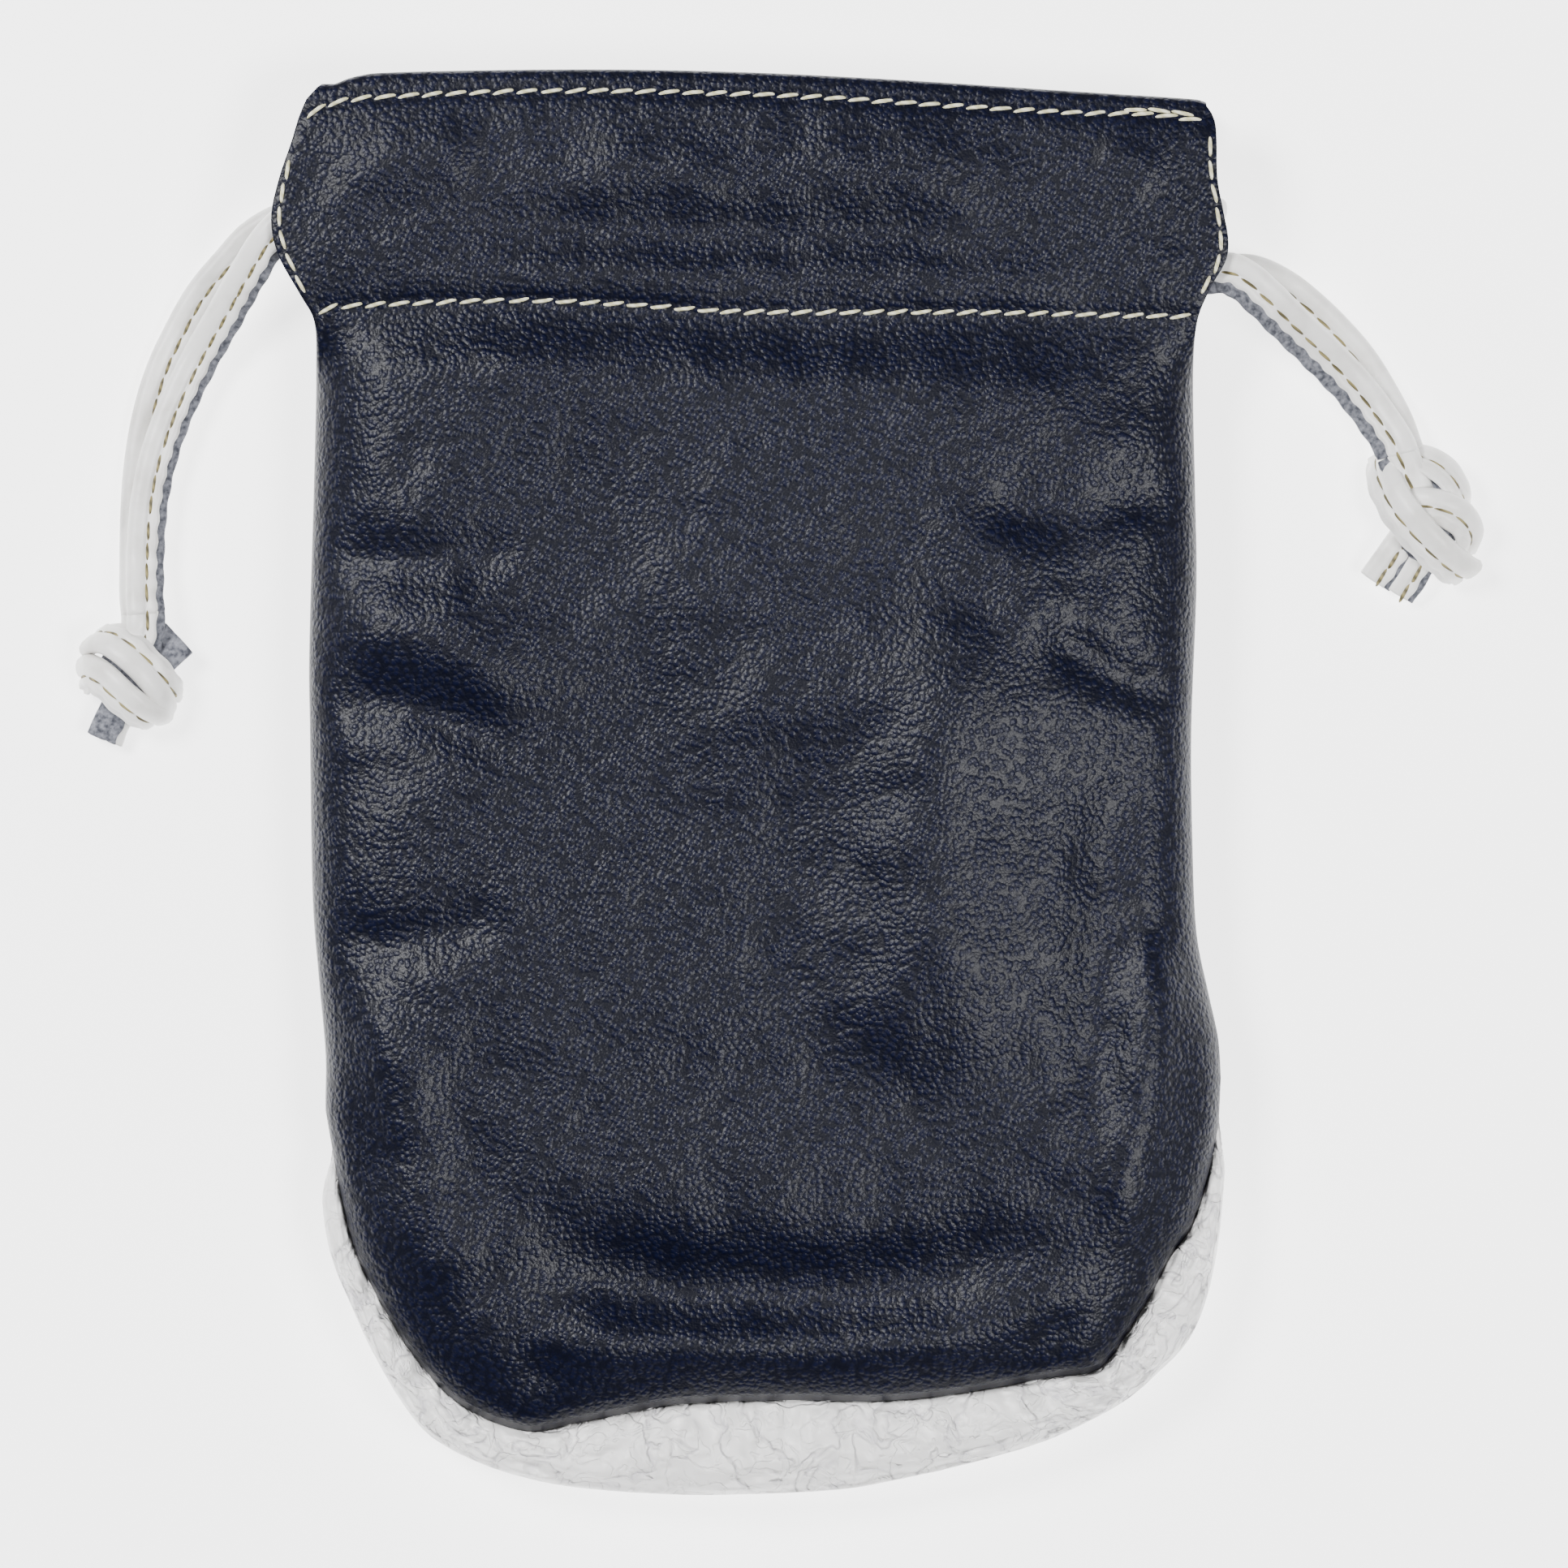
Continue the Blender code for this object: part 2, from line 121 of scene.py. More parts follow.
base_seam = [
    (-66.8, -50), (-64.4, -63.1), (-62.1, -71.6), (-58.3, -79.1), (-53.6, -86.7),
    (-48.4, -92.8), (-42.7, -96.6), (-35.5, -98.7), (-29, -97.6), (-21.9, -96.2),
    (-12.5, -94.6), (4.9, -94), (16, -94.2), (26, -93.5), (35.9, -92), (44.9, -90.4),
    (49.9, -89.8), (52.8, -87.8), (55.8, -83.3), (59.3, -77.8), (62, -72.3), (65.2, -67.9),
    (67.7, -61), (69.4, -53), (69.9, -45.1),
]
left_edge = [
    (-66.8, -50), (-66.8, -41.4), (-67.9, -29), (-68.8, -16.7), (-69.2, 8), (-69.3, 20.4),
    (-68.6, 45.1), (-68.2, 62), (-68.1, 69.8), (-70.4, 74.4), (-73.6, 80.2), (-74.7, 85.7),
    (-73.6, 91.5), (-71.6, 97.5), (-70.3, 101.9), (-69, 104.6), (-67, 106.4),
]
right_edge = [
    (69.9, -45.1), (69.5, -38.9), (67.9, -31.5), (66.2, -22.8), (65.6, -10), (65.4, 8),
    (66.2, 30), (66, 44), (65.7, 58), (65.8, 69), (67.8, 74.9), (70.2, 79.1), (70.7, 82.4),
    (69.9, 87), (69, 92), (68.9, 98), (68.6, 101), (67.4, 103),
]
mouth_rim = [
    (-67, 106.4), (-63.5, 107.6), (-56.8, 108.2), (-29.6, 108.6), (-4.9, 108.2),
    (19.8, 107), (44.4, 105.4), (61.7, 104.3), (65.6, 103.9), (67.4, 103),
]
mouth_row = [
    (-70.4, 101.2), (-68, 102.6), (-64, 103.8), (-56.4, 104.4), (-42.2, 105), (-28, 105.2),
    (-14, 105), (5.4, 104.4), (26.2, 103.1), (47, 101.9), (60, 101.6), (68.4, 100.4),
]
casing_row = [
    (-68.4, 71.2), (-66.4, 72.3), (-56.4, 72.9), (-37.5, 73.4), (-21, 72.8), (-6.8, 71.8),
    (5.4, 71.6), (31.5, 71.6), (57.4, 71.1), (66.3, 71),
]

# Soft folds: the line of each, its width and height (a valley is negative).
front_folds = [
    ([(-60, 84), (-20, 83.5), (20, 83), (52, 82)], 4.5, -1.0),
    ([(-68, 88), (-58, 94), (-40, 96)], 6, 1.2),
    ([(-44, 93), (0, 93), (46, 91)], 5, 0.7),
    ([(-60, 77), (0, 77), (60, 75)], 3.5, 0.6),
    ([(50, 98), (62, 92)], 6, 0.5),
    ([(22, 67), (48, 62), (66, 58)], 6, -0.6),
    ([(-70, 36), (-54, 33), (-34, 37)], 4.5, -1.0),
    ([(-70, 24), (-52, 23), (-30, 12)], 6, 1.1),
    ([(-70, 11), (-54, 12), (-34, 2)], 4.5, -0.9),
    ([(-71, -20), (-54, -24), (-38, -18)], 4, -0.8),
    ([(-66, -30), (-56, -42), (-50, -62)], 6, 1.3),
    ([(-58, -46), (-44, -56), (-36, -72)], 6, -0.8),
    ([(70, 50), (52, 42), (26, 42)], 5, -0.9),
    ([(24, 46), (36, 34), (46, 18)], 6, 1.1),
    ([(70, 16), (56, 15), (40, 26)], 3.5, -1.1),
    ([(38, 34), (28, 12), (25, -14), (31, -50)], 14, 2.8),
    ([(14, 20), (8, -20), (6, -60)], 12, -0.9),
    ([(54, 14), (51, -20), (50, -60)], 5.5, -1.3),
    ([(66, -12), (59, -40), (54, -78)], 5.5, 1.6),
    ([(71, -34), (60, -22), (50, -26)], 3.5, -0.6),
    ([(-44, -72), (-10, -77), (24, -75), (48, -66)], 7, -2.2),
    ([(-44, -84), (-10, -86), (20, -86), (46, -80)], 5, 1.2),
    ([(-56, -56), (-46, -78)], 7, 1.1),
    ([(-44, 64), (-24, 30), (-18, -24)], 17, -0.9),
    ([(-24, 40), (0, 16), (8, -6)], 13, 0.8),
    ([(36, -90), (50, -80)], 3, -0.9),
    ([(-39, -97), (-31, -86)], 3.5, -1.0),
]


def fold_height(points, folds):
    """Sum of the folds at each plan point, each fading out at both its ends."""
    height = np.zeros(len(points))
    for line, width, rise in folds:
        line = curve_through(line, 24)
        gap, along = distance_to(line, points)
        fade = ease(along / 0.3) * ease((1 - along) / 0.3)
        ends = np.minimum(
            np.linalg.norm(points - line[0][:2], axis=1),
            np.linalg.norm(points - line[-1][:2], axis=1),
        )
        fade = np.where(ends < gap + 1e-6, 0, fade)
        height += rise * fade * np.exp(-((gap / width) ** 2))
    return height


def ripple(points, scale, seed):
    """Gentle unevenness of soft leather, about 1 high before it is scaled."""
    return np.array([
        noise.fractal(Vector((x / scale, y / scale, seed)), 0.8, 2.0, 3) for x, y in points
    ])


def panel_sheet(side, columns, folds):
    """The panel's outer face as an open sheet. side is 1 for the front and -1 for the back.

    Rows climb from the base seam to the casing stitches and the mouth stitches, over the
    rim, and down the inside of the mouth as the hem.
    """
    foot = curve_through(base_seam, columns + 1)
    across = (foot[:, 0] - foot[0, 0]) / (foot[-1, 0] - foot[0, 0])
    left = curve_through(left_edge, 200)
    right = curve_through(right_edge, 200)

    def x_at(share, y):
        low = np.interp(y, left[:, 1], left[:, 0])
        high = np.interp(y, right[:, 1], right[:, 0])
        return low + (high - low) * share

    def level(line, x):
        line = curve_through(line, 200)
        return np.interp(x, line[:, 0], line[:, 1])

    nominal_x = x_at(across, casing_foot)
    casing_y = level(casing_row, nominal_x)
    mouth_y = level(mouth_row, nominal_x)
    rim_y = np.maximum(level(mouth_rim, nominal_x), mouth_y + 1.2)

    outline = np.concatenate([
        left[left[:, 1] < casing_foot][::-1], foot[1:-1], right[right[:, 1] < casing_foot]
    ])
    body_rows, casing_rows, fold_rows, hem_rows = 120, 30, 10, 12
    rows = []
    for row in range(body_rows):
        share = row / body_rows
        y = foot[:, 1] + (casing_y - foot[:, 1]) * share
        # Below the corners the sides are the base seam itself.
        blend = ease((y + 52) / 10)
        x = foot[:, 0] + (x_at(across, y) - foot[:, 0]) * blend
        gap, _ = distance_to(outline, np.stack([x, y], 1))
        if side > 0:
            reach = np.clip(gap / front_round, 0, 1)
            rise = np.sqrt(np.clip(1 - (1 - reach) ** 3.2, 0, 1))
            crown = crown_z / MM
        else:
            reach = np.clip(gap / back_round, 0, 1)
            rise = np.sqrt(np.clip(1 - (1 - reach) ** 2, 0, 1))
            crown = 0.0
        base = ease((-45 - y) / 45)
        edge = seam_z / MM + side * 0.3 + side * 2.4 * base
        z = edge + (crown - edge) * rise
        pinched = seam_z / MM + side * (flap_z / MM + stitched_half)
        shoulder = ease((y - casing_y + 12) / 12)
        z = z + (pinched - z) * shoulder
        rows.append(np.stack([x, y, z, np.clip(gap / 9, 0, 1) * (1 - shoulder * 0.8)], 1))
    for row in range(casing_rows + 1):
        share = row / casing_rows
        y = casing_y + (mouth_y - casing_y) * share
        x = x_at(across, y)
        puff = np.sqrt(np.clip(1 - np.abs(2 * share - 1) ** 4, 0, 1))
        height = stitched_half + (channel_half / MM + leather / MM - stitched_half) * puff
        edge = np.minimum(across, 1 - across) * 140
        height = height - 0.25 * (1 - np.clip(edge / 2.2, 0, 1)) ** 2
        z = seam_z / MM + side * (flap_z / MM + height)
        rows.append(np.stack([x, y, z, puff * np.clip(edge / 8, 0.1, 1)], 1))
    for row in range(1, fold_rows + 1):
        turn = math.pi * row / fold_rows
        roll = stitched_half
        straight = np.maximum(rim_y - roll - mouth_y, 0.1) * min(row / 2, 1)
        reach = roll * math.sin(turn) * np.minimum((rim_y - mouth_y) / roll, 1)
        y = mouth_y + straight + reach
        x = x_at(across, np.minimum(y, rim_y))
        z = np.full(len(x), seam_z / MM + side * (flap_z / MM + roll * math.cos(turn)))
        rows.append(np.stack([x, y, z, np.zeros(len(x))], 1))
    for row in range(hem_rows + 1):
        share = row / hem_rows
        y = mouth_y + (casing_y - 2.5 - mouth_y) * share
        puff = np.sqrt(np.clip(1 - np.abs(2 * share - 1) ** 4, 0, 1))
        x = x_at(across, casing_foot) * (hem_half_width / casing_half_width)
        z = seam_z / MM + side * (flap_z / MM - stitched_half - (channel_half / MM - 0.25) * puff)
        rows.append(np.stack([x, y, np.broadcast_to(z, x.shape), np.zeros(len(x))], 1))
    sheet = np.array(rows)
    flat = sheet.reshape(-1, 4)
    points = flat[:, :2]
    outer = np.arange(len(rows)) < body_rows + casing_rows + 1
    # The body creases more deeply than the casing, which the laces hold out.
    depth = 1 + 0.35 * ease((70 - points[:, 1]) / 6)
    shape = fold_height(points, folds) * depth + 0.65 * ripple(points, 22, 3.1 * side)
    shape += 0.22 * ripple(points, 7, 8.4 * side)
    lift = (flat[:, 3] * shape).reshape(sheet.shape[:2]) * outer[:, None]
    if side > 0:
        sheet[:, :, 2] += lift
    else:
        sheet[:, :, 2] -= np.minimum(lift, 0) * 0.4
    return sheet[:, :, :3] * MM, body_rows



def sheet_object(name, places, turned_rows, turned_in, facing):
    """Map a grid to places, turn in the seam allowance, and give it the leather's thickness."""
    row_count, column_count = places.shape[:2]
    bm = bmesh.new()
    bmesh.ops.create_grid(bm, x_segments=column_count - 1, y_segments=row_count - 1, size=1)
    seam = set()
    for vert in bm.verts:
        column = round((vert.co.x + 1) / 2 * (column_count - 1))
        row = round((vert.co.y + 1) / 2 * (row_count - 1))
        vert.co = places[row, column]
        if row < turned_rows and (row == 0 or column in (0, column_count - 1)):
            seam.add(vert)
    if turned_in:
        edges = [e for e in bm.edges if e.is_boundary and set(e.verts) <= seam]
        middle = Vector((0, 10 * MM, 0))
        flange = bmesh.ops.extrude_edge_only(bm, edges=edges)
        for vert in flange["geom"]:
            if isinstance(vert, bmesh.types.BMVert):
                inwards = middle - vert.co
                inwards.y *= 0.25 if vert.co.y > -50 * MM else 0.9
                inwards.z = 0
                vert.co += inwards.normalized() * turned_in
    bmesh.ops.recalc_face_normals(bm, faces=bm.faces)
    probe = min(bm.faces, key=lambda face: (face.calc_center_median().xy - facing[0]).length)
    if probe.normal.dot(facing[1]) < 0:
        bmesh.ops.reverse_faces(bm, faces=bm.faces)
    for face in bm.faces:
        face.smooth = True
    piece = object_from(name, bm)
    solidify = piece.modifiers.new("leather", "SOLIDIFY")
    solidify.thickness = leather - 0.1 * MM
    solidify.offset = -1
    return piece


def object_from(name, bm):
    mesh = bpy.data.meshes.new(name)
    bm.to_mesh(mesh)
    bm.free()
    piece = bpy.data.objects.new(name, mesh)
    bpy.context.scene.collection.objects.link(piece)
    return piece


def srgb(code):
    """A hex colour as linear red, green, blue and 1."""
    parts = [int(code[index:index + 2], 16) / 255 for index in (1, 3, 5)]
    linear = [c / 12.92 if c <= 0.04045 else ((c + 0.055) / 1.055) ** 2.4 for c in parts]
    return (*linear, 1.0)


def add_node(tree, kind, settings=None, **links):
    """Add a shader node. A link's value is another node's output, or a plain number."""
    node = tree.nodes.new(kind)
    for key, value in (settings or {}).items():
        setattr(node, key, value)
    for key, value in links.items():
        socket = node.inputs[int(key[1:])] if key[1:].isdigit() else node.inputs[key.replace("_", " ")]
        if isinstance(value, bpy.types.NodeSocket):
            tree.links.new(value, socket)
        else:
            socket.default_value = value
    return node


def new_material(name, roughness, ior=1.5):
    material = bpy.data.materials.new(name)
    material.use_nodes = True
    shader = material.node_tree.nodes["Principled BSDF"]
    shader.inputs["Roughness"].default_value = roughness
    shader.inputs["IOR"].default_value = ior
    shader.inputs["Metallic"].default_value = 0.0
    return material, material.node_tree, shader


def pebbled_navy():
    """Drum-dyed navy cowhide, milled soft: a fine pebble grain with a low satin finish."""
    material, tree, shader = new_material("navy milled cowhide", 0.42)
    shader.inputs["Specular IOR Level"].default_value = 0.24
    where = add_node(tree, "ShaderNodeTexCoord").outputs["Object"]
    wander = add_node(tree, "ShaderNodeTexNoise", Vector=where, Scale=320.0, Detail=3.0)
    shift = add_node(
        tree, "ShaderNodeMix", {"data_type": "VECTOR"}, _0=0.0007,
        _4=where, _5=wander.outputs["Color"],
    )
    # Round-topped pebbles about 1 mm across, with finer ones about 0.5 mm among them.
    coarse = add_node(tree, "ShaderNodeTexVoronoi", Vector=shift.outputs[1], Scale=1150.0)
    fine = add_node(tree, "ShaderNodeTexVoronoi", Vector=shift.outputs[1], Scale=2500.0)
    pebble = add_node(
        tree, "ShaderNodeMapRange", {"interpolation_type": "SMOOTHSTEP"},
        Value=coarse.outputs["Distance"], _1=0.75, _2=0.1,
    )
    speck = add_node(tree, "ShaderNodeMapRange", Value=fine.outputs["Distance"], _1=0.8, _2=0.1)
    grain = add_node(
        tree, "ShaderNodeMath", {"operation": "MULTIPLY_ADD"},
        _0=speck.outputs[0], _1=0.3, _2=pebble.outputs[0],
    )
    patch = add_node(tree, "ShaderNodeTexNoise", Vector=where, Scale=24.0, Detail=4.0)
    tone = add_node(
        tree, "ShaderNodeMix", {"data_type": "RGBA"},
        _0=patch.outputs["Fac"], _6=srgb("#04081F"), _7=srgb("#080D2A"),
    )
    # The hollows between the pebbles are painted darker, as painted shade in the grain.
    pit_shade = add_node(
        tree, "ShaderNodeMix", {"data_type": "RGBA"},
        _0=pebble.outputs[0], _6=srgb("#030514"), _7=tone.outputs[2],
    )
    tree.links.new(pit_shade.outputs[2], shader.inputs["Base Color"])
    polish = add_node(tree, "ShaderNodeMapRange", Value=patch.outputs["Fac"], _3=0.33, _4=0.46)
    tree.links.new(polish.outputs[0], shader.inputs["Roughness"])
    bump = add_node(tree, "ShaderNodeBump", Strength=0.65, Distance=0.00014, Height=grain.outputs[0])
    tree.links.new(bump.outputs[0], shader.inputs["Normal"])
    return material


navy = pebbled_navy()
front_places, body_rows = panel_sheet(1, 150, front_folds)
front = sheet_object(
    "front_skin", front_places, body_rows - 8, 3 * MM, (Vector((0, 0)), Vector((0, 0, 1)))
)
front.data.materials.append(navy)
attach(front, "root")
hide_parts("front_panel")

# ---------------------------------------------------------------------------------------
# Back panel. Cut from the same hide on the same pattern. It carries the pouch's weight, so
# it lies flat on the table and only turns up near its seams.

back_folds = [
    ([(-40, 30), (0, 20), (40, 28)], 8, -0.5),
    ([(-30, -60), (10, -50), (40, -62)], 8, -0.6),
]
back_places, body_rows = panel_sheet(-1, 110, back_folds)
back_places[:, :, 2] = np.maximum(back_places[:, :, 2], 0)
back = sheet_object(
    "back_skin", back_places, body_rows - 8, 3 * MM, (Vector((0, 0)), Vector((0, 0, -1)))
)
back.data.materials.append(navy)
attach(back, "root")
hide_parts("back_panel")

# ---------------------------------------------------------------------------------------
# Bottom gusset. A boat-shaped piece of soft white leather sewn between the two panels. It
# puffs out past the navy base as a roll, and puckers where the seam takes up its fullness.

gusset_outline = [
    (-67.1, -49), (-67.6, -58), (-67, -67.3), (-65.6, -73.5), (-63, -79.6), (-59.8, -86.7),
    (-55.4, -94.3), (-50.7, -99.9), (-43.2, -103.9), (-33.7, -106.8), (-23.8, -108.1),
    (-10.1, -108.8), (4.9, -108.4), (13.6, -107.7), (23.6, -105.8), (35.9, -102.8),
    (45.9, -99.4), (54.8, -94.7), (60.7, -89.8), (65.2, -84.8), (67.9, -78.4), (69.6, -69.9),
    (70.5, -60), (70.8, -52), (70.2, -44.5),
]


def gusset_places(columns, steps):
    """The roll's outer face: rows run round it from the front seam to the back seam."""
    half_roll = math.radians(150)
    seam = curve_through(base_seam, columns + 1)
    outer = curve_through(gusset_outline, columns + 1)
    rows = []
    for step in range(steps + 1):
        turn = half_roll * (1 - 2 * step / steps)
        reach = (math.cos(turn) - math.cos(half_roll)) / (1 - math.cos(half_roll))
        stretch = np.linspace(0, 1, columns + 1)
        full = ease(np.minimum(stretch, 1 - stretch) / 0.22)
        tip = ease(np.minimum(stretch, 1 - stretch) / 0.07)
        half = 0.35 + 0.95 * tip + 4.9 * full
        x = seam[:, 0] + (outer[:, 0] - seam[:, 0]) * reach * tip
        y = seam[:, 1] + (outer[:, 1] - seam[:, 1]) * reach * tip
        x = x - np.sign(x) * 1.8 * (1 - tip)
        z = seam_z / MM - 1.6 * full + half * math.sin(turn)
        # Puckers run across the roll from the front seam and die out round its outside.
        along = np.cumsum(np.concatenate([[0], np.linalg.norm(np.diff(outer, axis=0), axis=1)]))
        pucker = np.array([
            noise.noise(Vector((s / 3.1, 1.7 * math.sin(turn), 5.0))) for s in along
        ])
        wrinkle = np.array([
            noise.noise(Vector((s / 9.0, 2.4 * turn, 9.0))) for s in along
        ])
        strong = full * (0.35 + 0.65 * np.clip(np.abs(stretch - 0.5) * 3 - 0.4, 0, 1))
        near = math.exp(-((reach - 0.25) / 0.35) ** 2) if turn > 0 else 0.3
        fine = np.array([
            noise.ridged_multi_fractal(
                Vector((s / 4.6, 3.4 * turn + 0.05 * s, 3.0)), 0.9, 2.1, 4, 0.9, 1.6
            ) for s in along
        ])
        push = pucker * near * strong * 4.4 + wrinkle * 2.2 * full * reach
        push += (fine - 0.9) * 0.95 * full
        z = z + push * (0.4 + 0.6 * abs(math.sin(turn)))
        rows.append(np.stack([x, y, z], 1))
    return np.array(rows) * MM


def soft_white():
    """Soft white garment leather: a smooth painted finish, finely wrinkled by the turning, with painted
    shade along the wrinkles.
    """
    material, tree, shader = new_material("white garment leather", 0.4)
    where = add_node(tree, "ShaderNodeTexCoord").outputs["Object"]
    # Thin creases follow the lines where two wandering noises pass their middle value.
    creases = []
    for scale, wander in ((105.0, 1.2), (230.0, 0.8)):
        flow = add_node(
            tree, "ShaderNodeTexNoise", Vector=where, Scale=scale, Detail=2.0, Distortion=wander
        )
        off = add_node(tree, "ShaderNodeMath", {"operation": "SUBTRACT"}, _0=flow.outputs["Fac"], _1=0.5)
        gap = add_node(tree, "ShaderNodeMath", {"operation": "ABSOLUTE"}, _0=off.outputs[0])
        creases.append(
            add_node(tree, "ShaderNodeMapRange", Value=gap.outputs[0], _1=0.0, _2=0.045)
        )
    both = add_node(
        tree, "ShaderNodeMath", {"operation": "MULTIPLY_ADD"},
        _0=creases[1].outputs[0], _1=0.45, _2=creases[0].outputs[0],
    )
    grain = add_node(tree, "ShaderNodeTexNoise", Vector=where, Scale=800.0, Detail=4.0)
    height = add_node(
        tree, "ShaderNodeMath", {"operation": "MULTIPLY_ADD"},
        _0=grain.outputs["Fac"], _1=0.15, _2=both.outputs[0],
    )
    # Along the creases the colour is painted darker grey, as painted shade in them; the same creases
    # also drive the bump.
    paleness = add_node(tree, "ShaderNodeMapRange", Value=both.outputs[0], _1=0.0, _2=1.1)
    tone = add_node(
        tree, "ShaderNodeMix", {"data_type": "RGBA"},
        _0=paleness.outputs[0], _6=srgb("#D6D4D9"), _7=srgb("#F7F6F5"),
    )
    tree.links.new(tone.outputs[2], shader.inputs["Base Color"])
    bump = add_node(tree, "ShaderNodeBump", Strength=0.75, Distance=0.0004, Height=height.outputs[0])
    tree.links.new(bump.outputs[0], shader.inputs["Normal"])
    return material


white_leather = soft_white()
gusset = sheet_object(
    "gusset_skin", gusset_places(460, 48), 0, 0,
    (Vector((0, -0.1085)), Vector((0, -1, 0))),
)
gusset.data.materials.append(white_leather)
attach(gusset, "root")
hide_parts("bottom_gusset")

# ---------------------------------------------------------------------------------------
# Stitching on the navy panels. Cream polyester thread, bonded and twisted, about 0.6 mm
# thick, lockstitched at 7 to the inch. Each stitch leans a little across its row.

thread_thickness = 0.6 * MM


def sheet_tree(grid):
    """A surface to drop stitches on."""
    rows, columns = grid.shape[:2]
    faces = [
        (r * columns + c, r * columns + c + 1, (r + 1) * columns + c + 1, (r + 1) * columns + c)
        for r in range(rows - 1) for c in range(columns - 1)
    ]
    return BVHTree.FromPolygons([tuple(p) for p in grid.reshape(-1, 3)], faces)


def add_stitch(bm, place, along, normal, length, thickness, lean):
    """One stitch: a plump bead of thread whose ends dive into the leather."""
    side = normal.cross(along).normalized()
    made = bmesh.ops.create_uvsphere(bm, u_segments=8, v_segments=8, radius=0.5)
    frame_matrix = Matrix((
        (along.x, side.x, normal.x), (along.y, side.y, normal.y), (along.z, side.z, normal.z)
    ))
    turn = Matrix.Rotation(lean, 3, "Z")
    for vert in made["verts"]:
        # The sphere's poles lie along the stitch.
        x, y, z = vert.co.z, vert.co.x, vert.co.y
        full = min(max(1 - abs(2 * x) ** 3, 0) ** 0.5 / max(1 - (2 * x) ** 2, 1e-6) ** 0.5, 1.3)
        local = Vector((x * length, y * thickness * full, z * thickness * full))
        local.z -= 0.6 * thickness * (2 * x) ** 4
        vert.co = place + frame_matrix @ (turn @ local)
    for face in made["verts"][0].link_faces:
        face.smooth = True


def stitch_line(bm, tree, line, side, pitch=3.6, length=3.75, lean=0.2, start=0.0):
    """Stitches at even steps along a plan line (millimetres), laid on a panel's face."""
    dense = curve_through(line, 400)
    gone = np.concatenate([[0], np.cumsum(np.linalg.norm(np.diff(dense, axis=0), axis=1))])
    down = Vector((0, 0, -side))
    for at in np.arange(pitch * (0.5 + start), gone[-1] - 0.3 * pitch, pitch):
        spots = []
        for offset in (-0.4, 0, 0.4):
            x = np.interp(at + offset * length, gone, dense[:, 0]) * MM
            y = np.interp(at + offset * length, gone, dense[:, 1]) * MM
            hit, normal, _, _ = tree.ray_cast(Vector((x, y, side * 0.06)), down)
            if hit is None:
                break
            spots.append((hit, normal if normal.z * side > 0 else -normal))
        if len(spots) < 3:
            continue
        along = (spots[2][0] - spots[0][0]).normalized()
        normal = (spots[1][1] - along * spots[1][1].dot(along)).normalized()
        place = spots[1][0] + normal * thread_thickness * 0.22
        wobble = 0.04 * math.sin(at * 2.3)
        add_stitch(bm, place, along, normal, length * MM, thread_thickness, lean * side + wobble)


def thread_material(name, colour, shade):
    """Twisted polyester thread: a dull sheen, with plies about 0.5 mm apart that show as bands."""
    material, tree, shader = new_material(name, 0.55)
    where = add_node(tree, "ShaderNodeTexCoord").outputs["Object"]
    ply = add_node(
        tree, "ShaderNodeTexWave", {"bands_direction": "DIAGONAL"},
        Vector=where, Scale=330.0, Distortion=2.0, Detail=2.0,
    )
    tone = add_node(
        tree, "ShaderNodeMix", {"data_type": "RGBA"},
        _0=ply.outputs["Fac"], _6=srgb(shade), _7=srgb(colour),
    )
    tree.links.new(tone.outputs[2], shader.inputs["Base Color"])
    bump = add_node(tree, "ShaderNodeBump", Strength=0.5, Distance=0.0001, Height=ply.outputs["Fac"])
    tree.links.new(bump.outputs[0], shader.inputs["Normal"])
    return material


cream_thread = thread_material("cream bonded polyester thread", "#F1EED2", "#C9C49A")
back_tack = [(53, 101.9), (60, 101.9), (68.2, 100.8)]
slit_rows = {
    "left": [
        (-71.4, 98.5), (-72.2, 93), (-73.1, 89), (-73.4, 85.4), (-72.7, 81.7), (-70.6, 76.5),
        (-68.9, 73.5),
    ],
    "right": [
        (67.9, 98.5), (68, 93), (68.8, 88), (69.5, 82.5), (69, 79), (67.4, 76), (65.9, 73),
    ],
}
front_tree = sheet_tree(front_places)
back_tree = sheet_tree(back_places)
for side, face, tree in ((1, "front", front_tree), (-1, "back", back_tree)):
    for word, line in (("mouth", mouth_row), ("casing", casing_row)):
        bm = bmesh.new()
        inset = [(x * 0.985, y) for x, y in line]
        stitch_line(bm, tree, inset, side)
        if word == "mouth":
            # The row starts and ends doubled over itself.
            stitch_line(bm, tree, [(x, y + 0.35) for x, y in back_tack], side, start=0.5, lean=-0.05)
        piece = object_from(f"{word}_stitches_{face}", bm)
        piece.data.materials.append(cream_thread)
        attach(piece, "root")
        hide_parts(f"{word}_stitching_{face}")
    for hand, line in slit_rows.items():
        bm = bmesh.new()
        stitch_line(bm, tree, line, side, length=3.2, lean=0.05)
        piece = object_from(f"{hand}_slit_stitches_{face}", bm)
        piece.data.materials.append(cream_thread)
        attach(piece, "root")
        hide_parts(f"{hand}_slit_stitching_{face}")
for node in ("base_seam_thread_front", "base_seam_thread_back",
             "side_seam_thread_left", "side_seam_thread_right"):
    # Inside the turned seams, these stay as they are and only take the thread's finish.
    seam_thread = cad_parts[node]
    seam_thread.data.materials.clear()
    seam_thread.data.materials.append(cream_thread)

# ---------------------------------------------------------------------------------------
# Laces. Each is a strip of white leather folded lengthwise and stitched along its open
# side. The upper layer is trimmed back, so the grey flesh side of the lower one shows.

